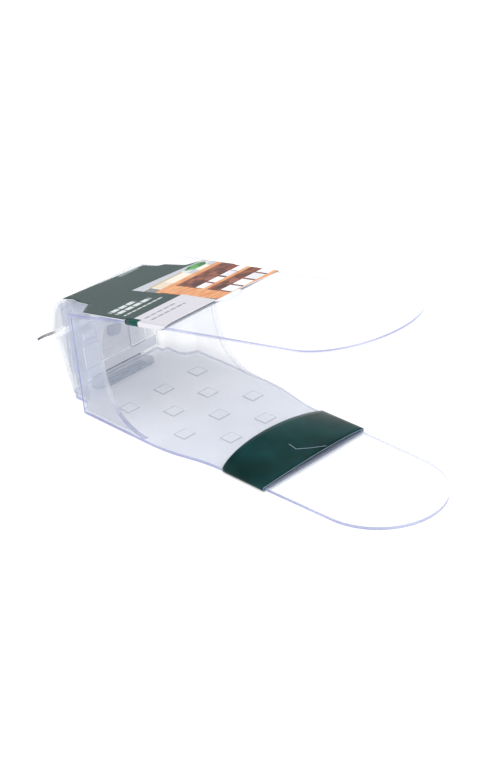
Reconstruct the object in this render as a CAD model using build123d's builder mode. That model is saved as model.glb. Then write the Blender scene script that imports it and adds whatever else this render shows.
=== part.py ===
from build123d import *
import os
from math import cos, radians, sin, tan

# Two-tier riser. X runs across, +Y to the rear, +Z up; the origin is on the floor, on the middle plane,
# where the rear edges of the side walls stand. A level lower tier carries side walls and a rear column;
# a tilted upper tier hooks over the column and slides up it.

# Driving dimensions, mm
half_width = 50.8
lower_length = 260.0
upper_length = 250.5
rear_height = 73.1
tier_tilt = 10.9
plate = 2.2
wall = 2.0
seat_gap = 0.1

# Lower tier outline, half widths and stations
lower_nose = (41.2, 45.0)
lower_waist = (43.2, -132.0)
lower_shoulder = (half_width, -62.0)

# Upper tier outline, in its own tilted plane
upper_nose = (46.0, 42.0)
upper_waist = (47.0, -62.0)
upper_shoulder = (half_width, -4.0)

# Column at the rear
column_start_y = 0.5
column_half = 41.3
column_rear_half = 37.3
column_notch_y = 21.5
column_rear_y = 27.0
column_fillet = 1.7
cut_height = 100.0

# Side walls: thickness and depth of the bead along the C-shaped front edge
bead_thick = 3.2
bead_depth = 2.8
wall_rear_y = -2.0

# Foot groove, sunk into the floor and into the foot of the column's rear wall, with a thin ribbed web below
groove_width = 52.0
groove_depth = 13.6
groove_y = 19.8
groove_top = 4.4
groove_web = 0.8
groove_rib_width = 0.7
groove_rib_height = 0.5
groove_rib_pitch = 3.2
groove_ribs = 3

# Pads on the column's rear wall: width, height, corner radius and centre height
pad_x = 19.8
pad_height = 0.8
tall_pad = (14.5, 18.5, 2.4, 22.0)
low_pad = (11.0, 7.0, 2.0, 37.0)

# Tread squares
tread_side = 10.4
tread_height = 0.8
tread_draft = 35.0
tread_pitch_y = 27.0
tread_pitch_x = 30.3
tread_first_y = -22.0
tread_rows = 9

# Gate mark left by the moulding, on the floor
gate_mark = (-15.2, -21.5)
gate_mark_radius = 0.7
gate_mark_height = 0.3

# Finger scoop and hook shell behind the column
scoop_half = 38.3
shell_half = 38.0
cap_half = 42.3
cap_rear = 25.0
cap_corner = (shell_half, 22.5)
cheek_y = 27.7
lever_half = 35.7
leg_y = 22.2
leg_top = 68.0
leg_foot_radius = 2.5
guide_legs = ((0, 10.4, 29.0), (-24.5, 11.0, 43.0), (24.5, 11.0, 43.0))
ledge_y = 27.9
ledge_z = 43.5
tooth_y = 28.3
catch_half = 5.0
lift_step = 10.0
levels = 3

# Card wraps
card = 0.45
card_gap = 0.25
band_rear_y = -125.5
band_front_y = -162.0
band_half = 44.2
band_foot = 0.1
recess_depth = 0.7
recess_margin = 1.5
band_shoulder = 2.9
band_rear_bow = ((-34.0, 14.0), (6.0, 17.0))
band_front_bow = ((-25.0, 4.0), (20.0, 6.5))
sleeve_half = 47.9
sleeve_wrap = (56.0, 94.5)
sleeve_tab = (5.0, -94.5)

tier_top = Plane(
    origin=(0, 2.8, rear_height),
    x_dir=(1, 0, 0),
    z_dir=(0, sin(radians(tier_tilt)), cos(radians(tier_tilt))),
)
tier_under = tier_top.offset(-plate)
seat = tier_top.offset(-plate - seat_gap)


def top_z(y):
    """Height of the upper tier's top surface above the floor at station y."""
    return rear_height + (2.8 - y) * tan(radians(tier_tilt))


def under_z(y, gap=0.0):
    """Height of the upper tier's underside, or of a surface a gap below it, at station y."""
    return top_z(y) - (plate + gap) / cos(radians(tier_tilt))


def both_sides(points):
    """The points of the +X side, then their mirror images in reverse order."""
    return [*points, *[(-x, y) for x, y in reversed(points)]]


def flank(length, nose, waist, shoulder):
    """Half outline of a tier: elliptical nose, straight flank, then an ease out to the full width."""
    nose_half, nose_depth = nose
    nose_end = (nose_half, nose_depth - length)
    ease = (shoulder[1] - waist[1]) / 2
    EllipticalCenterArc((0, nose_end[1]), nose_half, nose_depth, start_angle=270, arc_size=90)
    Line(nose_end, waist)
    Bezier(waist, (waist[0], waist[1] + ease), (shoulder[0], shoulder[1] - ease), shoulder)


def tread_places():
    """Staggered lattice of tread squares on the lower tier, with one square alone in the nose."""
    places = []
    for row in range(tread_rows):
        y = tread_first_y - row * tread_pitch_y
        columns = (-0.5, 0.5) if row % 2 else (-1, 0, 1)
        if row == tread_rows - 1:
            columns = (0,)
        places += [(column * tread_pitch_x, y) for column in columns]
    return places


# Outer plan of the column on the +X side, from the side wall round to the rear wall
column_side = [
    (half_width, column_start_y),
    (column_half + 2, column_start_y + 4),
    (column_half, column_start_y + 9),
    (column_half, column_notch_y),
    (column_rear_half, column_notch_y),
    (column_rear_half, column_rear_y),
]

# Lower tier: floor plate, side walls, column, scoop and treads in one moulding
with BuildPart() as lower_tier:
    with BuildSketch() as floor_plan:
        with BuildLine():
            flank(lower_length, lower_nose, lower_waist, lower_shoulder)
            Polyline(lower_shoulder, *column_side, (0, column_rear_y))
            mirror(about=Plane.YZ)
        make_face()
        fillet(floor_plan.vertices().filter_by_position(Axis.Y, 0, column_rear_y - 1), column_fillet)
    extrude(amount=plate)

    # Column: a wall round the rear, open to the front
    with BuildSketch() as column_plan:
        with BuildLine():
            Polyline(*both_sides([(half_width, -20), *column_side]), close=True)
        make_face()
        fillet(column_plan.vertices().filter_by_position(Axis.Y, -10, 40), column_fillet)
        offset(amount=-wall, kind=Kind.INTERSECTION, mode=Mode.SUBTRACT)
        with Locations((0, -14)):
            Rectangle(2 * half_width + 2, 16, mode=Mode.SUBTRACT)
    extrude(amount=cut_height)
    split(bisect_by=seat, keep=Keep.BOTTOM)

    # Side walls: a C-shaped front edge, thickened into a bead, joins the floor to the seat
    for side in (-1, 1):
        with BuildSketch(Plane.YZ.offset(side * (half_width - wall / 2))) as wall_side:
            with BuildLine():
                Bezier((-64, plate), (-40, plate), (-25.5, 14), (-25, 48))
                Bezier((-25, 48), (-24.3, 62), (-27, 72), (-43, under_z(-43, seat_gap)))
                front_top = (-43, under_z(-43, seat_gap))
                rear_top = (wall_rear_y, under_z(wall_rear_y, seat_gap))
                Polyline(front_top, rear_top, (wall_rear_y, 0.5), (-64, 0.5), (-64, plate))
            make_face()
        extrude(amount=wall / 2, both=True)
        with BuildSketch(Plane.YZ.offset(side * (half_width - bead_thick / 2))):
            add(wall_side.sketch_local)
            add(wall_side.sketch_local.moved(Location((bead_depth, 0))), mode=Mode.SUBTRACT)
            with Locations((-20, under_z(-20))):
                Rectangle(80, 6, mode=Mode.SUBTRACT)
        extrude(amount=bead_thick / 2, both=True)

    # Scoop behind the column: two cheeks and a curved skin, open at the top
    with BuildSketch(Plane.YZ):
        with BuildLine():
            Bezier((26, 3), (31, 16), (32, 30), (38.2, 37.5))
            Polyline((38.2, 37.5), (38.2, 42), (26, 48.6), (26, 3))
        make_face()
    extrude(amount=scoop_half, both=True)
    with BuildSketch(Plane.YZ):
        with BuildLine():
            inner = Bezier((24, 3), (29, 16), (30, 30), (36.2, 37.5))
            Polyline(inner @ 1, (40, 37.5), (40, 50), (20, 50), (20, 3), inner @ 0)
        make_face()
        with Locations((column_rear_y - 15, 30)):
            Rectangle(30, 80, mode=Mode.SUBTRACT)
    extrude(amount=scoop_half - wall, both=True, mode=Mode.SUBTRACT)

    # Foot groove, with ribs along its web
    with BuildSketch(Plane.XY.offset(groove_web)):
        with Locations((0, groove_y)):
            SlotOverall(groove_width, groove_depth)
    extrude(amount=groove_top - groove_web, mode=Mode.SUBTRACT)
    with BuildSketch(Plane.XY.offset(groove_web)):
        with Locations((0, groove_y)):
            with GridLocations(0, groove_rib_pitch, 1, groove_ribs):
                Rectangle(groove_width - groove_depth, groove_rib_width)
    extrude(amount=groove_rib_height)

    # Pads on the column's rear wall, a tall pair below and a low pair above
    with BuildSketch(Plane.XZ.offset(wall - column_rear_y)):
        for width, height, radius, centre_z in (tall_pad, low_pad):
            with Locations((-pad_x, centre_z), (pad_x, centre_z)):
                RectangleRounded(width, height, radius)
    extrude(amount=pad_height)

    # Catch ledges on the column's rear face, one for each height
    with BuildSketch(Plane.YZ):
        for level in range(levels):
            ledge = ledge_z + level * lift_step
            with BuildLine():
                ledge_foot = (column_rear_y - 0.5, ledge - 3)
                ledge_root = (column_rear_y - 0.5, ledge)
                Polyline(ledge_foot, (ledge_y, ledge - 1.2), (ledge_y, ledge), ledge_root, close=True)
            make_face()
    extrude(amount=catch_half, both=True)

    # Tread squares
    with BuildSketch(Plane.XY.offset(plate)):
        with Locations(*tread_places()):
            Rectangle(tread_side, tread_side)
    extrude(amount=tread_height, taper=tread_draft)
    with BuildSketch(Plane.XY.offset(plate)):
        with Locations(gate_mark):
            Circle(gate_mark_radius)
    extrude(amount=gate_mark_height)

    # Recess under the plate for the lower band
    with Locations((0, (band_rear_y + band_front_y) / 2, recess_depth / 2)):
        Box(2 * half_width, band_rear_y - band_front_y + 2 * recess_margin, recess_depth, mode=Mode.SUBTRACT)
lower_tier.part.label = "lower_tier"


def shell_crown():
    """Outer line of the hook shell in side view, from the cap's top round to the lever's upper edge."""
    Line((27, top_z(27)), (28.5, top_z(28.5)))
    Bezier((28.5, top_z(28.5)), (32.4, top_z(32.4)), (35.1, 63.7), (36.7, 58))


# Upper tier: tilted plate, rear cap, hook shell and guide legs in one moulding
with BuildPart() as upper_tier:
    with BuildSketch(tier_under):
        with BuildLine():
            flank(upper_length, upper_nose, upper_waist, upper_shoulder)
            Polyline(upper_shoulder, (half_width, -0.5), (45, 2.5), (cap_half, 7), (cap_half, 21))
            Line((cap_half, 21), cap_corner)
            Polyline(cap_corner, (shell_half, cap_rear), (0, cap_rear))
            mirror(about=Plane.YZ)
        make_face()
    extrude(amount=plate)

    # Hook shell: the cap rounds over between two cheeks that reach down beside the lever
    for side in (-1, 1):
        with BuildSketch(Plane.YZ.offset(side * (shell_half - wall / 2))):
            with BuildLine():
                shell_crown()
                Polyline((36.7, 58), (41, 42.4), (cheek_y, 49.6), (cheek_y, 64), (27, 64), (27, top_z(27)))
            make_face()
        extrude(amount=wall / 2, both=True)
    with BuildSketch(Plane.YZ):
        with BuildLine():
            shell_crown()
            Line((36.7, 58), (34.7, 57.5))
            Bezier((34.7, 57.5), (33.4, 62.2), (31.8, under_z(31.8)), (28.5, under_z(28.5)))
            Polyline((28.5, under_z(28.5)), (27, under_z(27)), (27, top_z(27)))
        make_face()
    extrude(amount=shell_half - wall, both=True)

    # Guide legs inside the column: a long centre tongue and two short side legs
    for leg_x, leg_width, leg_foot in guide_legs:
        with BuildSketch(Plane.XZ.offset(-leg_y)) as leg:
            with Locations((leg_x, (leg_foot + leg_top) / 2)):
                Rectangle(leg_width, leg_top - leg_foot)
            fillet(leg.vertices().group_by(Axis.Y)[0], leg_foot_radius)
        extrude(amount=-wall)
upper_tier.part.label = "upper_tier"

# Release lever: a flap between the cheeks that flares into a finger lip, with a catch tooth inside
with BuildPart() as release_lever:
    with BuildSketch(Plane.YZ):
        with BuildLine():
            Line((36.8, 57.7), (41.1, 42))
            Bezier((41.1, 42), (42.6, 40.4), (52, 36.5), (62.5, 28.6))
            Line((62.5, 28.6), (61.6, 27.2))
            Bezier((61.6, 27.2), (52, 34.6), (43, 36.6), (39.2, 41.4))
            Polyline((39.2, 41.4), (34.9, 57.2), (36.8, 57.7))
        make_face()
    extrude(amount=lever_half, both=True)
    with BuildSketch(Plane.YZ):
        with BuildLine():
            Polyline((38.4, 48), (tooth_y, 46), (tooth_y, ledge_z + 0.3), (38.8, ledge_z + 0.3), close=True)
        make_face()
    extrude(amount=catch_half, both=True)
release_lever.part.label = "release_lever"

# Upper sleeve: printed card over the upper tier, wrapped round it near the middle
with BuildPart() as upper_sleeve:
    with BuildSketch(tier_top.offset(card_gap)) as panel:
        with BuildLine():
            Polyline(
                (-6, -93.5),
                (-40, -93),
                (-sleeve_half, -sleeve_wrap[1]),
                (-sleeve_half, -14),
                (-46, -11.5),
                (-36.4, -4.3),
                (-35.8, 7),
                (-33.3, 15.8),
                (-35, 26),
                (28, 17),
                (30.5, 3.3),
                (33.6, 0.8),
                (36.8, -18),
                (45.5, -22.4),
                (sleeve_half, -24),
                (sleeve_half, -99.5),
                (16, -94.5),
                close=True,
            )
        make_face()
        fillet(panel.vertices().filter_by_position(Axis.Y, -30, 30), 1.0)
        with Locations(sleeve_tab):
            Ellipse(10.5, 8.5)
    extrude(amount=card)
    wrap_depth = plate + 2 * card_gap + 2 * card
    wrap_length = sleeve_wrap[1] - sleeve_wrap[0]
    with BuildSketch(tier_top.offset(card_gap + card - wrap_depth)):
        with Locations((0, -(sleeve_wrap[0] + sleeve_wrap[1]) / 2)):
            Rectangle(2 * sleeve_half, wrap_length)
    extrude(amount=card)
    with BuildSketch(tier_top.offset(card_gap + card - wrap_depth)):
        for side in (-1, 1):
            with Locations((side * (sleeve_half - card / 2), -(sleeve_wrap[0] + sleeve_wrap[1]) / 2)):
                Rectangle(card, wrap_length)
    extrude(amount=wrap_depth)
upper_sleeve.part.label = "upper_sleeve"


def band_outline(bow, inset):
    """Section of the lower band: flat below, bowed up above by two control points, drawn in by the inset."""
    half = band_half - inset
    shoulder = band_shoulder - inset
    foot = band_foot + inset
    Bezier((-half, shoulder), *[(x, z - inset) for x, z in bow], (half, shoulder))
    Polyline((half, shoulder), (half, foot), (-half, foot), (-half, shoulder))


# Lower band: plain card round the lower tier, bowed above it
with BuildPart() as lower_band:
    for inset, mode in ((0, Mode.ADD), (card, Mode.SUBTRACT)):
        with BuildSketch(Plane.XZ.offset(-band_rear_y)):
            with BuildLine():
                band_outline(band_rear_bow, inset)
            make_face()
        with BuildSketch(Plane.XZ.offset(-band_front_y)):
            with BuildLine():
                band_outline(band_front_bow, inset)
            make_face()
        loft(ruled=True, mode=mode)
lower_band.part.label = "lower_band"

os.makedirs("parts", exist_ok=True)
for piece in (lower_tier, upper_tier, release_lever, upper_sleeve, lower_band):
    export_step(piece.part, f"parts/{piece.part.label}.step")
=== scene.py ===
"""Looks of the two-tier riser: clear violet-tinted tiers, a printed card sleeve and a green card band."""
from math import cos, pi, radians, sin

import bmesh
import bpy
from mathutils import Matrix, Vector


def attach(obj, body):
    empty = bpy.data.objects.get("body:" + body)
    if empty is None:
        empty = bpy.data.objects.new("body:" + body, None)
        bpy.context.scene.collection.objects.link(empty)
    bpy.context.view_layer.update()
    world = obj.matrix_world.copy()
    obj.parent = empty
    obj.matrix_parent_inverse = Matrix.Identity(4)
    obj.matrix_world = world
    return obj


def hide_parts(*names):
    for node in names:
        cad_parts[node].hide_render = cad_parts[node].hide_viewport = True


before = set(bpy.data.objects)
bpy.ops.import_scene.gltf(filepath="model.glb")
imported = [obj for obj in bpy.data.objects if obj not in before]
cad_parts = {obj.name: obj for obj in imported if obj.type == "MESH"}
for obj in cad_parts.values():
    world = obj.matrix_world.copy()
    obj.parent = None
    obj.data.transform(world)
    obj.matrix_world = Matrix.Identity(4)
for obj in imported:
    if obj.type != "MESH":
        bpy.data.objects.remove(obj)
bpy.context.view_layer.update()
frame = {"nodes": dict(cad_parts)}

MM = 0.001
nodes = frame["nodes"]
scene = bpy.context.scene

# The upper tier's top plane: where its rear corner stands, and its tilt
TIER_Y = 2.8 * MM
TIER_Z = 73.1 * MM
TILT = radians(10.9)
TIER_NORMAL = (0, sin(TILT), cos(TILT))


def on_tier(x, along, height):
    """World place of a point in mm: across, forward along the upper tier, and above its top surface."""
    y = TIER_Y - along * MM * cos(TILT) + height * MM * sin(TILT)
    z = TIER_Z + along * MM * sin(TILT) + height * MM * cos(TILT)
    return Vector((x * MM, y, z))


# Camera and stage
def make_camera():
    """Three-quarter view from the front left, slightly rolled."""
    azimuth, elevation, roll = radians(-41.0), radians(29.2), radians(-5.8)
    distance, focal_ratio, sensor_width = 1.257, 2.66579, 36.0
    target = Vector((0, -0.120, 0.040))
    shift_right, shift_up = 0.0074, -0.0029
    back = Vector((sin(azimuth) * cos(elevation), -cos(azimuth) * cos(elevation), sin(elevation)))
    right = Vector((cos(azimuth), sin(azimuth), 0))
    up = back.cross(right)
    rolled_right = cos(roll) * right + sin(roll) * up
    rolled_up = cos(roll) * up - sin(roll) * right
    camera = bpy.data.objects.new("camera", bpy.data.cameras.new("camera"))
    camera.data.sensor_width = sensor_width
    camera.data.lens = focal_ratio * sensor_width
    camera.data.clip_start = 0.05
    camera.data.clip_end = 20
    axes = Matrix((rolled_right, rolled_up, back)).transposed().to_4x4()
    place = target + distance * back - shift_right * rolled_right - shift_up * rolled_up
    camera.matrix_world = Matrix.Translation(place) @ axes
    scene.collection.objects.link(camera)
    scene.camera = camera


def make_stage():
    """A white table in an even white studio."""
    reach, drop = 6.0, -0.0006
    mesh = bpy.data.meshes.new("floor")
    corners = [(-reach, -reach, drop), (reach, -reach, drop), (reach, reach, drop), (-reach, reach, drop)]
    mesh.from_pydata(corners, [], [(0, 1, 2, 3)])
    floor = bpy.data.objects.new("floor", mesh)
    scene.collection.objects.link(floor)
    paint = bpy.data.materials.new("floor_white")
    paint.use_nodes = True
    shader = paint.node_tree.nodes["Principled BSDF"]
    shader.inputs["Base Color"].default_value = (0.93, 0.93, 0.93, 1)
    shader.inputs["Roughness"].default_value = 0.9
    shader.inputs["Specular IOR Level"].default_value = 0.1
    shader.inputs["Emission Color"].default_value = (1, 1, 1, 1)
    shader.inputs["Emission Strength"].default_value = 0.20
    mesh.materials.append(paint)
    world = bpy.data.worlds.new("studio")
    scene.world = world
    world.use_nodes = True
    sky = world.node_tree.nodes["Background"]
    sky.inputs["Color"].default_value = (1, 1, 1, 1)
    sky.inputs["Strength"].default_value = 1.10
    scene.view_settings.view_transform = "Standard"


def area_light(name, place, aim, size, power):
    data = bpy.data.lights.new(name, "AREA")
    data.shape = "SQUARE"
    data.size = size
    data.energy = power
    lamp = bpy.data.objects.new(name, data)
    lamp.location = place
    lamp.rotation_mode = "QUATERNION"
    lamp.rotation_quaternion = (Vector(aim) - Vector(place)).to_track_quat("-Z", "Y")
    scene.collection.objects.link(lamp)


# Node helpers
class Nodes:
    """A material's node tree, with short calls for the few node kinds used here."""

    def __init__(self, name):
        self.material = bpy.data.materials.new(name)
        self.material.use_nodes = True
        self.tree = self.material.node_tree
        self.shader = self.tree.nodes["Principled BSDF"]

    def node(self, kind, inputs=(), **settings):
        made = self.tree.nodes.new("ShaderNode" + kind)
        for key, value in settings.items():
            setattr(made, key, value)
        for key, value in dict(inputs).items():
            if isinstance(value, bpy.types.NodeSocket):
                self.tree.links.new(value, made.inputs[key])
            else:
                made.inputs[key].default_value = value
        return made

    def math(self, operation, *values):
        return self.node("Math", dict(enumerate(values)), operation=operation).outputs[0]

    def dot(self, vector, direction):
        return self.node("VectorMath", {0: vector, 1: direction}, operation="DOT_PRODUCT").outputs["Value"]

    def ramp(self, value, low, high):
        """0 below low, 1 above high, smooth between."""
        inputs = {"Value": value, "From Min": low, "From Max": high}
        return self.node("MapRange", inputs, interpolation_type="SMOOTHSTEP").outputs["Result"]

    def fade(self, place, low, high):
        """The same ramp between two places given in mm."""
        return self.ramp(place, low * MM, high * MM)

    def near(self, place, centre, reach):
        """1 where a place is within reach of the centre, both in mm."""
        return self.math("COMPARE", place, centre * MM, reach * MM)

    def over(self, place, limit):
        """1 where a place is past the limit, in mm."""
        return self.math("GREATER_THAN", place, limit * MM)

    def below(self, place, limit):
        """1 where a place is short of the limit, in mm."""
        return self.math("LESS_THAN", place, limit * MM)

    def size(self, value):
        return self.math("ABSOLUTE", value)

    def all_of(self, *masks):
        result = masks[0]
        for mask in masks[1:]:
            result = self.math("MULTIPLY", result, mask)
        return result

    def mix(self, factor, under, over):
        blend = self.node("Mix", {"Factor": factor}, data_type="RGBA")
        for socket, value in ((blend.inputs[6], under), (blend.inputs[7], over)):
            if isinstance(value, bpy.types.NodeSocket):
                self.tree.links.new(value, socket)
            else:
                socket.default_value = (*value, 1)
        return blend.outputs[2]

    def noise(self, place, scale, detail=2.0):
        inputs = {"Vector": place, "Scale": scale, "Detail": detail}
        return self.node("TexNoise", inputs).outputs["Fac"]

    def bump(self, height, strength, distance):
        inputs = {"Height": height, "Strength": strength, "Distance": distance}
        self.link(self.node("Bump", inputs).outputs["Normal"], "Normal")

    def link(self, socket, name):
        self.tree.links.new(socket, self.shader.inputs[name])

    def set(self, **values):
        for name, value in values.items():
            self.shader.inputs[name.replace("_", " ")].default_value = value


def linear(code):
    """Linear colour from an sRGB hex code."""
    parts = [int(code[i : i + 2], 16) / 255 for i in (0, 2, 4)]
    return tuple(v / 12.92 if v <= 0.04045 else ((v + 0.055) / 1.055) ** 2.4 for v in parts)


# Clear plastic: tints, with painted shade and painted highlight colours among them
CLEAR_TINT = (0.62, 0.65, 0.74)
# Painted shade: grey-blue of the floor behind the band and of the heel pocket
HEEL_SHADE_TINT = (0.50, 0.55, 0.67)
# Painted shade on the scoop's solid foot
FOOT_SHADE = (0.54, 0.58, 0.68)
SHELL_TINT = (0.64, 0.67, 0.73)
RIM_TINT = (0.23, 0.25, 0.47)
RIM_LIGHT = (0.37, 0.39, 0.59)
REAR_EDGE_TINT = (0.19, 0.21, 0.50)
# Painted highlight on the walls' front edges
WALL_EDGE_HIGHLIGHT = (0.80, 0.82, 0.88)
# Painted shade: dark line along the groove's lip and low on the lever's sides
DARK_SHADE = (0.07, 0.075, 0.10)
BEVEL_SHADE = (0.30, 0.32, 0.40)
BEVEL_LIGHT = (0.97, 0.97, 0.99)
# Painted shade inside the foot groove
GROOVE_SHADE = (0.42, 0.49, 0.60)
PAD_SHADE = (0.30, 0.33, 0.50)
# Painted shade under the finger lip, and a painted highlight on its top
LIP_UNDER_SHADE = (0.10, 0.105, 0.14)
LIP_TOP_HIGHLIGHT = (0.95, 0.96, 0.99)
LEVER_SIDE = (0.42, 0.44, 0.55)

# Clear plastic: how much each part hides what is behind it
PLAIN_HAZE = 0.080
SLANT_HAZE = 0.13
# How much the painted shade behind the band and in the heel hides
PAINTED_SHADE_HAZE = 0.145
CLOUD_HAZE = 0.06
SHELL_HAZE = 0.10

# Places on the mouldings that the marks follow, mm
TIER_PLATE = 2.2
BEAD_INSIDE = 47.4
FLANGE_INSIDE = 47.8
SCOOP_HALF = 36.3
GROOVE_HALF = 26.2
PAD_X = 19.8
PADS = ((7.25, 22.0, 9.25), (5.5, 37.0, 3.5))


def painted_heel_shade(n, at):
    """Painted shade of the heel: even over the floor behind the band, more in the heel pocket, less on the
    lit right wall.
    """
    over_floor = n.math("MULTIPLY_ADD", n.fade(at["Y"], -95, -35), -0.38, 1.0)
    painted_shade = n.math("MULTIPLY", over_floor, n.fade(at["Y"], -160, -146))
    heel = n.math("MULTIPLY", n.fade(at["Z"], 6, 30), n.fade(at["Y"], -50, -10))
    painted_shade = n.math("MULTIPLY_ADD", heel, 0.60, painted_shade)
    painted_shade = n.math("MULTIPLY", painted_shade, n.fade(at["Z"], 120, 60))
    lit_right_wall = n.math("MULTIPLY", n.fade(at["X"], 20, 41), n.fade(at["Z"], 3, 12))
    return n.math("MULTIPLY", painted_shade, n.math("MULTIPLY_ADD", lit_right_wall, -0.9, 1.0))


def clear_plastic(name, marks):
    """Moulded clear plastic: see-through face on, milky at a slant, with painted shade deepening where the
    heel pocket closes in.

    marks(n, place, normal, outside) gives rows of (mask, colour, haze) laid over the plain faces in turn.
    """
    n = Nodes(name)
    place = n.node("TexCoord").outputs["Object"]
    geometry = n.node("NewGeometry")
    at = n.node("SeparateXYZ", {0: place}).outputs
    # Painted shade: darker, bluer and less clear behind the band and in the heel, lighter on the lit right
    # wall
    painted_shade = painted_heel_shade(n, at)
    slant = n.node("LayerWeight", {"Blend": 0.35}).outputs["Facing"]
    haze = n.math("MULTIPLY_ADD", slant, SLANT_HAZE, PLAIN_HAZE)
    haze = n.math("MULTIPLY_ADD", painted_shade, PAINTED_SHADE_HAZE, haze)
    cloud = n.math("SUBTRACT", n.noise(place, 38.0), 0.5)
    haze = n.math("MULTIPLY_ADD", cloud, CLOUD_HAZE, haze)
    behind = n.fade(at["Y"], 26.5, 28.5)
    haze = n.math("MULTIPLY_ADD", behind, SHELL_HAZE, haze)
    colour = n.mix(behind, n.mix(painted_shade, CLEAR_TINT, HEEL_SHADE_TINT), SHELL_TINT)
    outside = n.math("SUBTRACT", 1.0, geometry.outputs["Backfacing"])
    for mask, tint, thick in marks(n, place, geometry.outputs["True Normal"], outside):
        colour = n.mix(mask, colour, tint)
        kept = n.math("MULTIPLY", haze, n.math("SUBTRACT", 1.0, mask))
        haze = n.math("ADD", kept, n.math("MULTIPLY", mask, thick))
    n.link(colour, "Base Color")
    n.link(haze, "Alpha")
    n.bump(n.noise(place, 90.0, 3.0), 0.10, 0.0004)
    n.set(Roughness=0.07, IOR=1.5)
    return n.material


def rim_colour(n, place):
    """Violet of the rims, drifting between a deeper and a lighter tone along them."""
    return n.mix(n.ramp(n.noise(place, 26.0, 1.0), 0.35, 0.7), RIM_TINT, RIM_LIGHT)


def half_from_inside(n, outside):
    """1 on a face seen from outside, a half on one seen through the plastic."""
    return n.math("MULTIPLY_ADD", outside, 0.5, 0.5)


def edge_rows(n, place, at, facing, outside):
    """Violet edges: the floor plate's rim, the walls' C-shaped front edges and their upright rear edges. The
    C-edges are pale as a painted highlight and turn violet low down, most on the left as painted shade.
    """
    rim = rim_colour(n, place)
    across = n.size(at["X"])
    above = n.over(at["Z"], TIER_PLATE + 0.1)
    upright = n.math("LESS_THAN", n.size(facing["Z"]), 0.5)
    low = n.below(at["Z"], TIER_PLATE + 0.05)
    rim_mask = n.all_of(upright, low, half_from_inside(n, outside))
    bead = n.over(across, BEAD_INSIDE)
    edge_on = n.math("LESS_THAN", n.size(facing["X"]), 0.4)
    wall_edge = n.all_of(bead, edge_on, above, n.below(at["Y"], -20), outside)
    wall_low = n.math("MULTIPLY", wall_edge, n.fade(at["Z"], 26, 6))
    # Painted shade: the C-edges' violet is deeper on the left wall than on the right
    left_shade = n.math("MULTIPLY_ADD", n.fade(at["X"], -30, 30), -0.8, 1.0)
    wall_low = n.math("MULTIPLY", wall_low, left_shade)
    outward = n.math("GREATER_THAN", n.math("MULTIPLY", facing["X"], n.math("SIGN", at["X"])), 0.3)
    flange = n.over(across, FLANGE_INSIDE)
    rear_edge = n.all_of(flange, above, n.near(at["Y"], 0.0, 1.3), outside, outward)
    return (
        (rim_mask, rim, 0.85),
        # Painted highlight: the C-edges made pale
        (wall_edge, WALL_EDGE_HIGHLIGHT, 0.30),
        (wall_low, rim, 0.50),
        (rear_edge, REAR_EDGE_TINT, 0.80),
    )


def tread_rows(n, at, facing):
    """Bevels of the tread squares: shaded to the front and left, light to the rear and right."""
    above = n.over(at["Z"], TIER_PLATE + 0.1)
    tilted = n.math("MULTIPLY", n.math("COMPARE", n.size(facing["Z"]), 0.72, 0.2), above)
    bevel = n.math("MULTIPLY", tilted, n.below(at["Z"], TIER_PLATE + 0.9))
    turned = n.ramp(n.math("ADD", facing["X"], facing["Y"]), -0.2, 0.2)
    near_bevel = n.math("MULTIPLY", bevel, n.math("SUBTRACT", 1.0, turned))
    far_bevel = n.math("MULTIPLY", bevel, turned)
    shade_haze = n.math("MULTIPLY_ADD", n.fade(at["Y"], -166, -140), 0.30, 0.20)
    return (near_bevel, BEVEL_SHADE, shade_haze), (far_bevel, BEVEL_LIGHT, 0.75)


def groove_rows(n, at, facing):
    """Foot groove: its web and rear face, darkened as painted shade, a painted dark shade line along the lip
    above, and the scoop's solid foot over that, darkened grey-blue as painted shade.
    """
    span = n.near(at["X"], 0.0, GROOVE_HALF)
    web = n.all_of(span, n.near(at["Z"], 1.3, 0.8), n.near(at["Y"], 19.8, 6.9))
    rear_face = n.all_of(span, n.near(at["Z"], 2.6, 1.7), n.near(at["Y"], 26.4, 0.3))
    flat = n.math("GREATER_THAN", n.size(facing["Z"]), 0.5)
    lip = n.all_of(n.near(at["Z"], 4.4, 0.4), n.near(at["Y"], 26.0, 1.1), span, flat)
    in_scoop = n.below(n.size(at["X"]), SCOOP_HALF)
    solid_foot = n.all_of(n.near(at["Y"], 25.0, 0.3), n.near(at["Z"], 9.3, 3.7), in_scoop)
    return (
        # Painted shade: the groove darkened, a dark line along its lip, and the solid foot grey-blue
        (n.math("MAXIMUM", web, rear_face), GROOVE_SHADE, 0.50),
        (lip, DARK_SHADE, 0.85),
        (solid_foot, FOOT_SHADE, 0.66),
    )


def pad_rows(n, at):
    """Edges of the pads on the column's rear wall: light away from the middle, shaded elsewhere."""
    front = n.near(at["Y"], 24.2, 0.2)
    offset_x = n.math("SUBTRACT", n.size(at["X"]), PAD_X * MM)
    light, shade = 0.0, 0.0
    for half_x, centre_z, half_z in PADS:
        across = n.math("DIVIDE", offset_x, half_x * MM)
        up = n.math("DIVIDE", n.math("SUBTRACT", at["Z"], centre_z * MM), half_z * MM)
        inside = n.math("MULTIPLY", front, n.math("COMPARE", up, 0.0, 1.0))
        outer = n.math("MULTIPLY", inside, n.math("GREATER_THAN", across, 0.86))
        level = n.math("GREATER_THAN", n.size(up), 1.0 - 1.0 / half_z)
        inner = n.math("MAXIMUM", level, n.math("LESS_THAN", across, -0.88))
        light = n.math("MAXIMUM", light, outer)
        shade = n.math("MAXIMUM", shade, n.math("MULTIPLY", inside, inner))
    return (light, BEVEL_LIGHT, 0.90), (shade, PAD_SHADE, 0.55)


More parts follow.
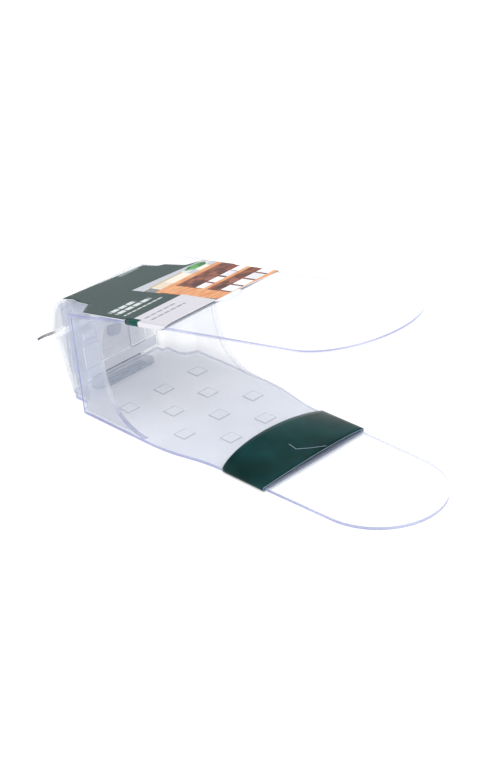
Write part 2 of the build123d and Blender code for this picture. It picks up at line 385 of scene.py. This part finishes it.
def lower_marks(n, place, normal, outside):
    """Edges, tread bevels, foot groove and pads of the lower tier."""
    at = n.node("SeparateXYZ", {0: place}).outputs
    facing = n.node("SeparateXYZ", {0: normal}).outputs
    edges = edge_rows(n, place, at, facing, outside)
    return *edges, *tread_rows(n, at, facing), *groove_rows(n, at, facing), *pad_rows(n, at)


def upper_marks(n, place, normal, outside):
    """Rim of the tilted plate, violet most of all along its crest."""
    sideways = n.math("LESS_THAN", n.size(n.dot(normal, TIER_NORMAL)), 0.5)
    height = n.math("SUBTRACT", n.dot(place, TIER_NORMAL), TIER_Y * sin(TILT) + TIER_Z * cos(TILT))
    thin = n.over(height, -TIER_PLATE - 0.1)
    ahead = n.below(n.node("SeparateXYZ", {0: place}).outputs["Y"], 6)
    crest = n.math("MULTIPLY_ADD", n.fade(height, -1.4, -1.0), 0.5, 0.5)
    mask = n.all_of(sideways, thin, ahead, half_from_inside(n, outside), crest)
    return ((mask, rim_colour(n, place), 0.80),)


def lever_marks(n, place, normal, outside):
    """Finger lip, with a painted highlight above and painted shade below towards its ends, and the lever's
    side edges, in painted shade low down.
    """
    at = n.node("SeparateXYZ", {0: place}).outputs
    facing = n.node("SeparateXYZ", {0: normal}).outputs
    low = n.fade(at["Z"], 43, 39)
    ends = n.fade(n.size(at["X"]), 27, 34)
    lip = n.math("MULTIPLY", low, n.math("GREATER_THAN", n.size(facing["Z"]), 0.5))
    top = n.all_of(lip, outside, n.math("GREATER_THAN", facing["Z"], 0.0))
    side = n.math("GREATER_THAN", n.size(facing["X"]), 0.8)
    return (
        # Painted shade under the lip and low on the side edges, a painted highlight on its top
        (lip, LIP_UNDER_SHADE, n.math("MULTIPLY_ADD", ends, 0.68, 0.12)),
        (top, LIP_TOP_HIGHLIGHT, n.math("MULTIPLY_ADD", ends, 0.35, 0.12)),
        (side, LEVER_SIDE, 0.6),
        (n.math("MULTIPLY", side, low), DARK_SHADE, 0.80),
    )


# Card
class Print:
    """Flat print laid on card: patches of colour placed by their span across and along, in mm."""

    def __init__(self, nodes, across, along, ground):
        self.n = nodes
        self.across = across
        self.along = along
        self.colour = ground

    def span(self, value, low, high):
        return self.n.math("COMPARE", value, (low + high) / 2 * MM, (high - low) / 2 * MM)

    def box(self, x0, x1, l0, l1):
        return self.n.math("MULTIPLY", self.span(self.across, x0, x1), self.span(self.along, l0, l1))

    def disc(self, x, l, radius_x, radius_l):
        dx = self.n.math("DIVIDE", self.n.math("SUBTRACT", self.across, x * MM), radius_x * MM)
        dl = self.n.math("DIVIDE", self.n.math("SUBTRACT", self.along, l * MM), radius_l * MM)
        squared = self.n.math("ADD", self.n.math("MULTIPLY", dx, dx), self.n.math("MULTIPLY", dl, dl))
        return self.n.math("LESS_THAN", squared, 1.0)

    def lay(self, mask, code):
        over = code if isinstance(code, bpy.types.NodeSocket) else linear(code)
        self.colour = self.n.mix(mask, self.colour, over)


# The picture's plant, as discs (across, along, radius), and its boxes, as rows of left ends, mm
LEAVES = (
    (31, 27, 2.2), (34, 25.5, 2.0), (37.5, 24.6, 2.1), (41, 26, 2.2), (43.2, 28, 1.8),
    (33.5, 29.5, 2.6), (37, 28.5, 2.8), (40.5, 30, 2.4), (35.5, 31.5, 2.0), (38.8, 32, 1.8),
)
LEAF_COLOURS = ("4f8f55", "2f6a3a", "6da76c")
BOX_ROWS = ((61, 68.4, (8, 18.6, 29.3, 38.6)), (83, 94, (10, 20.3, 30.8, 41)))
BOX_WIDTH = 8.6
BOX_COLOURS = ("dfe1e8", "e8e9ee", "d6d9e2", "e2e4ea")
BUNDLE_COLOURS = ("4a2a26", "8d5a4e", "5b3430", "7b3f30")


def picture_panel(p):
    """Outline of the picture: a strip with a slanted rear edge and a slanted left edge."""
    strip = p.n.math("MULTIPLY", p.span(p.across, -9, 48), p.span(p.along, 16, 99.5))
    ahead = p.n.over(p.n.math("MULTIPLY_ADD", p.across, -0.12, p.along), 17.3)
    left = p.n.over(p.n.math("MULTIPLY_ADD", p.along, -0.082, p.across), -10.2)
    return p.n.math("MULTIPLY", strip, p.n.math("MULTIPLY", ahead, left))


def shelf_picture(p, wood, shade):
    """A plain drawing of a shelf unit with boxes and a plant, beside the label."""
    left, right = -12, 50
    panel = picture_panel(p)
    base = p.colour
    p.colour = linear("b9bcc4")
    p.lay(p.box(left, right, 26, 32), "d2d4da")
    p.lay(p.box(-8, -2, 27, 38), "7f8084")
    p.lay(p.box(-2, 25.5, 25.5, 41), "e4dccf")
    p.lay(p.box(-2, 25.5, 25.5, 28), "b7aa98")
    p.lay(p.box(-1, 9, 28.5, 40), "d9cbb5")
    for i, (x, l, radius) in enumerate(LEAVES):
        p.lay(p.disc(x, l, radius * 1.25, radius), LEAF_COLOURS[i % len(LEAF_COLOURS)])
    p.lay(p.box(32.5, 41.5, 32.5, 41), "eee5d8")
    p.lay(p.box(left, right, 37.6, 43.5), wood)
    p.lay(p.box(left, right, 42.6, 43.8), "a9683f")
    p.lay(p.box(left, right, 43.8, 99), shade)
    for l0, l1, starts in BOX_ROWS:
        for x, bundle, face in zip(starts, BUNDLE_COLOURS, BOX_COLOURS):
            p.lay(p.disc(x + 4.5, l0 - 3.5, 3.6, 3.4), bundle)
            p.lay(p.box(x, x + BOX_WIDTH, l0, l1), face)
            p.lay(p.box(x, x + BOX_WIDTH, l0, l0 + 1.0), "f4f5f8")
    p.lay(p.box(left, right, 68.2, 72.4), wood)
    p.lay(p.box(left, right, 71.7, 72.6), "9a5a38")
    p.lay(p.box(8, right, 94, 98), wood)
    post = p.n.near(p.n.math("MULTIPLY_ADD", p.along, -0.05, p.across), -1.9, 5.9)
    p.lay(p.n.math("MULTIPLY", post, p.span(p.along, 38, 99.5)), wood)
    p.lay(p.box(left, right, 98, 99.6), "5a3a2e")
    picture = p.colour
    p.colour = p.n.mix(panel, base, picture)


def bars(p, lines, code, pitch):
    """Rows of plain bars in the place of text, each broken into short runs from the left margin."""
    left_margin = -43
    for start, height, end in lines:
        row = p.box(left_margin, end, start, start + height)
        phase = p.n.math("MODULO", p.n.math("ADD", p.across, 0.1), pitch * MM)
        p.lay(p.n.math("MULTIPLY", row, p.n.math("GREATER_THAN", phase, 0.16 * pitch * MM)), code)


def printed_card():
    """Varnished card: green field, white label with plain bars for text, and the shelf drawing."""
    n = Nodes("printed_card")
    place = n.node("TexCoord").outputs["Object"]
    across = n.node("SeparateXYZ", {0: place}).outputs["X"]
    toward = (0, -cos(TILT), sin(TILT))
    along = n.math("ADD", n.dot(place, toward), TIER_Y * cos(TILT) - TIER_Z * sin(TILT))
    p = Print(n, across, along, linear("2f4443"))
    grain_place = n.node("Mapping", {"Vector": place, "Scale": (0.25, 1.6, 1.0)}).outputs["Vector"]
    grain = n.noise(grain_place, 420.0, 4.0)
    wood = n.mix(n.ramp(grain, 0.3, 0.7), linear("c67a4c"), linear("e0a878"))
    shade = n.mix(n.ramp(n.noise(place, 170.0), 0.35, 0.7), linear("5c3026"), linear("8f5640"))
    shelf_picture(p, wood, shade)
    p.lay(p.box(-49, -3.6, 61, 95.5), "c9c7ce")
    p.lay(p.box(-49, -44, 60, 68.8), "0f4a44")
    p.lay(p.box(-49, -47.2, 68.8, 97), "d5d4da")
    bars(p, ((68.2, 2.0, -17), (75.0, 2.2, -14)), "918f99", 5.2)
    bars(p, ((82.6, 1.2, -22), (87.4, 1.2, -11)), "c4c2ca", 3.4)
    bars(p, ((33.0, 4.4, -22), (40.0, 4.4, -15)), "c9d0cf", 6.4)
    bars(p, ((49.0, 2.0, -11),), "b9c2c0", 4.2)
    p.lay(p.box(-7, 14.6, 94.7, 106), "dfe3ea")
    p.lay(p.box(7, 23, -19, -15), "7c8886")
    n.link(p.colour, "Base Color")
    wave = n.noise(place, 24.0)
    n.link(n.math("MULTIPLY_ADD", wave, 0.10, 0.22), "Roughness")
    n.bump(wave, 0.25, 0.0010)
    n.set(Specular_IOR_Level=0.05)
    return n.material


def green_card():
    """Varnished dark green card, with a painted highlight along its rear edge."""
    n = Nodes("green_card")
    place = n.node("TexCoord").outputs["Object"]
    wave = n.noise(place, 30.0)
    body = n.mix(n.ramp(wave, 0.3, 0.75), linear("042626"), linear("123f40"))
    # Painted highlight: a pale line along the band's rear edge
    rear_edge_highlight = n.over(n.node("SeparateXYZ", {0: place}).outputs["Y"], BAND_REAR - CARD)
    n.link(n.mix(n.math("MULTIPLY", rear_edge_highlight, 0.7), body, linear("b4c8ca")), "Base Color")
    n.link(n.math("MULTIPLY_ADD", wave, 0.10, 0.16), "Roughness")
    n.bump(wave, 0.25, 0.0010)
    n.set(Specular_IOR_Level=0.09)
    return n.material


def plain_board(name, dark, light):
    """Unprinted board: the back and the cut edges of a card, with its fibres; the band's back is given a
    violet-grey that is painted shade.
    """
    n = Nodes(name)
    place = n.node("TexCoord").outputs["Object"]
    n.link(n.mix(n.noise(place, 500.0), linear(dark), linear(light)), "Base Color")
    n.set(Roughness=0.7, Specular_IOR_Level=0.2)
    return n.material


# Card shapes, mm: heights are above the upper tier's top, and stations forward along it
CARD = 0.45
SLEEVE_HALF = 47.9
SLEEVE_TOP = 0.70
SLEEVE_DEPTH = 3.6
SLEEVE_GRID = 3
WRAP_START = 56.0
WRAP_END = 94.5
WRAP_SETBACK = 3.5
WRAP_STEPS = 8
FOLD = 1.2
PANEL_HALF = SLEEVE_HALF - FOLD
PANEL_NOTCH = WRAP_START - 0.6
PANEL_CORNER = 1.2
PANEL_WAVE = 0.10
TAB_X = 5
TAB_HALF = 10.5
TAB_REACH = 8.5
TAB_STEPS = 16


def add_piece(name, mesh, body, node, material, smooth=False):
    piece = bpy.data.objects.new(name, mesh)
    scene.collection.objects.link(piece)
    mesh.materials.append(material)
    if smooth:
        for face in mesh.polygons:
            face.use_smooth = True
    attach(piece, body)
    if node:
        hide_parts(node)
    return piece


def thicken(piece, back, cut):
    """Gives a sheet the card's thickness inwards, with plain board on its back and on its cut edges."""
    piece.data.materials.append(back)
    piece.data.materials.append(cut)
    shell = piece.modifiers.new("card", "SOLIDIFY")
    shell.thickness = CARD * MM
    shell.offset = -1.0
    shell.use_even_offset = True
    shell.material_offset = 1
    shell.material_offset_rim = 2


def rounded(points, radius, steps=4):
    """A closed outline with each corner replaced by a short arc-like curve."""
    result = []
    count = len(points)
    for i, corner in enumerate(points):
        here = Vector(corner)
        before = Vector(points[i - 1]) - here
        after = Vector(points[(i + 1) % count]) - here
        reach = min(radius, before.length / 2.2, after.length / 2.2)
        start = here + before.normalized() * reach
        end = here + after.normalized() * reach
        for step in range(steps + 1):
            t = step / steps
            result.append(start.lerp(here, t).lerp(here.lerp(end, t), t))
    return result


def sleeve_panel():
    """Top panel of the sleeve, as a fine grid cut from its outline, with a slight wave in the card."""
    outline = [
        (-6, 93.5), (-40, 93), (-PANEL_HALF, WRAP_END), (-PANEL_HALF, WRAP_START),
        (-SLEEVE_HALF, PANEL_NOTCH), (-SLEEVE_HALF, 14), (-46, 11.5), (-36.4, 4.3), (-35.8, -7),
        (-33.3, -15.8), (-35, -26), (28, -17), (30.5, -3.3), (33.6, -0.8), (36.8, 18), (45.5, 22.4),
        (SLEEVE_HALF, 24), (SLEEVE_HALF, PANEL_NOTCH), (PANEL_HALF, WRAP_START), (PANEL_HALF, 99.4),
        (16, WRAP_END),
    ]
    turns = [pi * k / TAB_STEPS for k in range(TAB_STEPS + 1)]
    tab = [Vector((TAB_X + TAB_HALF * cos(a), WRAP_END + TAB_REACH * sin(a))) for a in turns]
    shape = bmesh.new()
    face = shape.faces.new([shape.verts.new((x, l, 0)) for x, l in rounded(outline, PANEL_CORNER) + tab])
    face.normal_update()
    for start, stop, normal in ((-47, 48, (1, 0, 0)), (-25, 103, (0, 1, 0))):
        for cut in range(start, stop, SLEEVE_GRID):
            geometry = shape.verts[:] + shape.edges[:] + shape.faces[:]
            point = [cut * v for v in normal]
            bmesh.ops.bisect_plane(shape, geom=geometry, plane_co=point, plane_no=normal)
    for vertex in shape.verts:
        x, l = vertex.co.x, vertex.co.y
        wave = PANEL_WAVE * sin(x / 14) * sin(l / 19)
        vertex.co = on_tier(x, l, SLEEVE_TOP + wave)
    bmesh.ops.recalc_face_normals(shape, faces=shape.faces)
    if sum(f.normal.z for f in shape.faces) < 0:
        bmesh.ops.reverse_faces(shape, faces=shape.faces)
    mesh = bpy.data.meshes.new("sleeve_panel")
    shape.to_mesh(mesh)
    return mesh


def arc(centre_x, centre_h, radius, start, end, steps=6):
    """Points round part of a circle, from one angle to another."""
    turns = [start + (end - start) * k / steps for k in range(steps + 1)]
    return [(centre_x + radius * cos(a), centre_h + radius * sin(a)) for a in turns]


def sleeve_wrap():
    """The part of the sleeve round both edges and under the tier, where it stops a little short in front."""
    low = SLEEVE_TOP - SLEEVE_DEPTH
    side = SLEEVE_HALF - FOLD
    right = arc(side, SLEEVE_TOP - FOLD, FOLD, pi / 2, 0) + arc(side, low + FOLD, FOLD, 0, -pi / 2)
    under = [(side - 8 * k, low) for k in range(1, 12)]
    left = [(-x, h) for x, h in reversed(right)]
    section = right + under + left
    ends = [WRAP_END if h > -1 else WRAP_END - WRAP_SETBACK for x, h in section]
    rows = []
    for k in range(WRAP_STEPS + 1):
        alongs = [WRAP_START + (end - WRAP_START) * k / WRAP_STEPS for end in ends]
        rows.append([on_tier(x, l, h) for (x, h), l in zip(section, alongs)])
    return lofted("sleeve_wrap", rows)


def lofted(name, rows):
    """Sheet mesh through rows of points, closed where they meet, facing away from its middle."""
    shape = bmesh.new()
    grid = [[shape.verts.new(point) for point in row] for row in rows]
    for row, after in zip(grid, grid[1:]):
        for a, b, c, d in zip(row, row[1:], after[1:], after):
            shape.faces.new((a, b, c, d))
    bmesh.ops.remove_doubles(shape, verts=shape.verts, dist=0.01 * MM)
    bmesh.ops.recalc_face_normals(shape, faces=shape.faces)
    middle = sum((v.co for v in shape.verts), Vector()) / len(shape.verts)
    outward = sum(f.normal.dot(f.calc_center_median() - middle) for f in shape.faces)
    if outward < 0:
        bmesh.ops.reverse_faces(shape, faces=shape.faces)
    mesh = bpy.data.meshes.new(name)
    shape.to_mesh(mesh)
    return mesh


# Band, mm: rear and front stations, and the two control points of the bow at each
BAND_HALF = 44.2
BAND_REAR = -125.5
BAND_FRONT = -162.0
BAND_SHOULDER = 2.9
BAND_FOOT = 0.1
REAR_BOW = ((-34.0, 14.0), (6.0, 17.0))
FRONT_BOW = ((-25.0, 4.0), (20.0, 6.5))
BAND_FOLD = 0.9
BAND_ROWS = 12
BAND_COLUMNS = 48
FOOT_COLUMNS = 10
TUCK_ROUTE = ((0.515, 0.53), (0.500, 0.69), (0.56, 0.82), (0.66, 0.995))
TUCK_HALF = 0.22
TUCK_LIFT = 0.25
TUCK_STEPS = 6


def bezier(p0, p1, p2, p3, t):
    s = 1 - t
    weights = (s**3, 3 * s * s * t, 3 * s * t * t, t**3)
    return tuple(sum(w * v for w, v in zip(weights, values)) for values in zip(p0, p1, p2, p3))


def band_point(t, forward):
    """Point of the band's bowed top, t across from left to right and forward from rear to front, in mm."""
    places = []
    for bow in (REAR_BOW, FRONT_BOW):
        places.append(bezier((-BAND_HALF, BAND_SHOULDER), *bow, (BAND_HALF, BAND_SHOULDER), t))
    (xr, zr), (xf, zf) = places
    ease = forward * forward * (3 - 2 * forward) * 0.4 + forward * 0.6
    return xr + (xf - xr) * ease, BAND_REAR + (BAND_FRONT - BAND_REAR) * forward, zr + (zf - zr) * ease


def band_sheet():
    """The band, once round: its bowed top, a fold at each side and the flat foot."""
    side = (BAND_HALF, BAND_FOOT + BAND_FOLD)
    turn = (BAND_HALF - BAND_FOLD * 0.3, BAND_FOOT + BAND_FOLD * 0.3)
    foot_half = BAND_HALF - BAND_FOLD
    foot = [(foot_half - 2 * foot_half * i / FOOT_COLUMNS, BAND_FOOT) for i in range(FOOT_COLUMNS + 1)]
    below = [side, turn, *foot, (-turn[0], turn[1]), (-side[0], side[1])]
    rows = []
    for k in range(BAND_ROWS + 1):
        top = [band_point(t / BAND_COLUMNS, k / BAND_ROWS) for t in range(BAND_COLUMNS + 1)]
        y = top[0][1]
        ring = [*top, *[(x, y, z) for x, z in below], top[0]]
        rows.append([Vector(q) * MM for q in ring])
    return lofted("lower_band_card", rows)


def tuck_edge():
    """Cut edge of the tongue tucked into the band: a narrow ridge that lies on the bowed card."""
    section = ((-TUCK_HALF, 0), (-TUCK_HALF * 0.4, TUCK_LIFT), (TUCK_HALF * 0.4, TUCK_LIFT), (TUCK_HALF, 0))
    rows = []
    for (t0, f0), (t1, f1) in zip(TUCK_ROUTE, TUCK_ROUTE[1:]):
        for k in range(TUCK_STEPS):
            t = t0 + (t1 - t0) * k / TUCK_STEPS
            f = f0 + (f1 - f0) * k / TUCK_STEPS
            x, y, z = band_point(t, f)
            rows.append([Vector((x + dx, y, z + dz)) * MM for dx, dz in section])
    return lofted("band_tuck", rows)


make_camera()
make_stage()
area_light("key", (-0.5, -0.9, 1.5), (0, -0.15, 0), 1.2, 9)

nodes["lower_tier"].material_slots[0].material = clear_plastic("clear_lower", lower_marks)
nodes["upper_tier"].material_slots[0].material = clear_plastic("clear_upper", upper_marks)
nodes["release_lever"].material_slots[0].material = clear_plastic("clear_lever", lever_marks)

board = plain_board("board_back", "c9ccd2", "dcdee2")
board_cut = plain_board("board_cut", "e2e4ea", "f0f1f4")
# The band's back is violet-grey: painted shade under its bowed top
band_shade_back = plain_board("band_shade_back", "5c6a80", "8a93ab")
band_cut = plain_board("band_cut", "6f8796", "95a6b8")

card = printed_card()
for name, mesh in (("sleeve_panel", sleeve_panel()), ("sleeve_wrap", sleeve_wrap())):
    piece = add_piece(name, mesh, "sleeve", "upper_sleeve", card, smooth=True)
    thicken(piece, board, board_cut)
green = green_card()
band = add_piece("lower_band_card", band_sheet(), "base", "lower_band", green, smooth=True)
thicken(band, band_shade_back, band_cut)
add_piece("band_tuck", tuck_edge(), "base", None, band_cut)
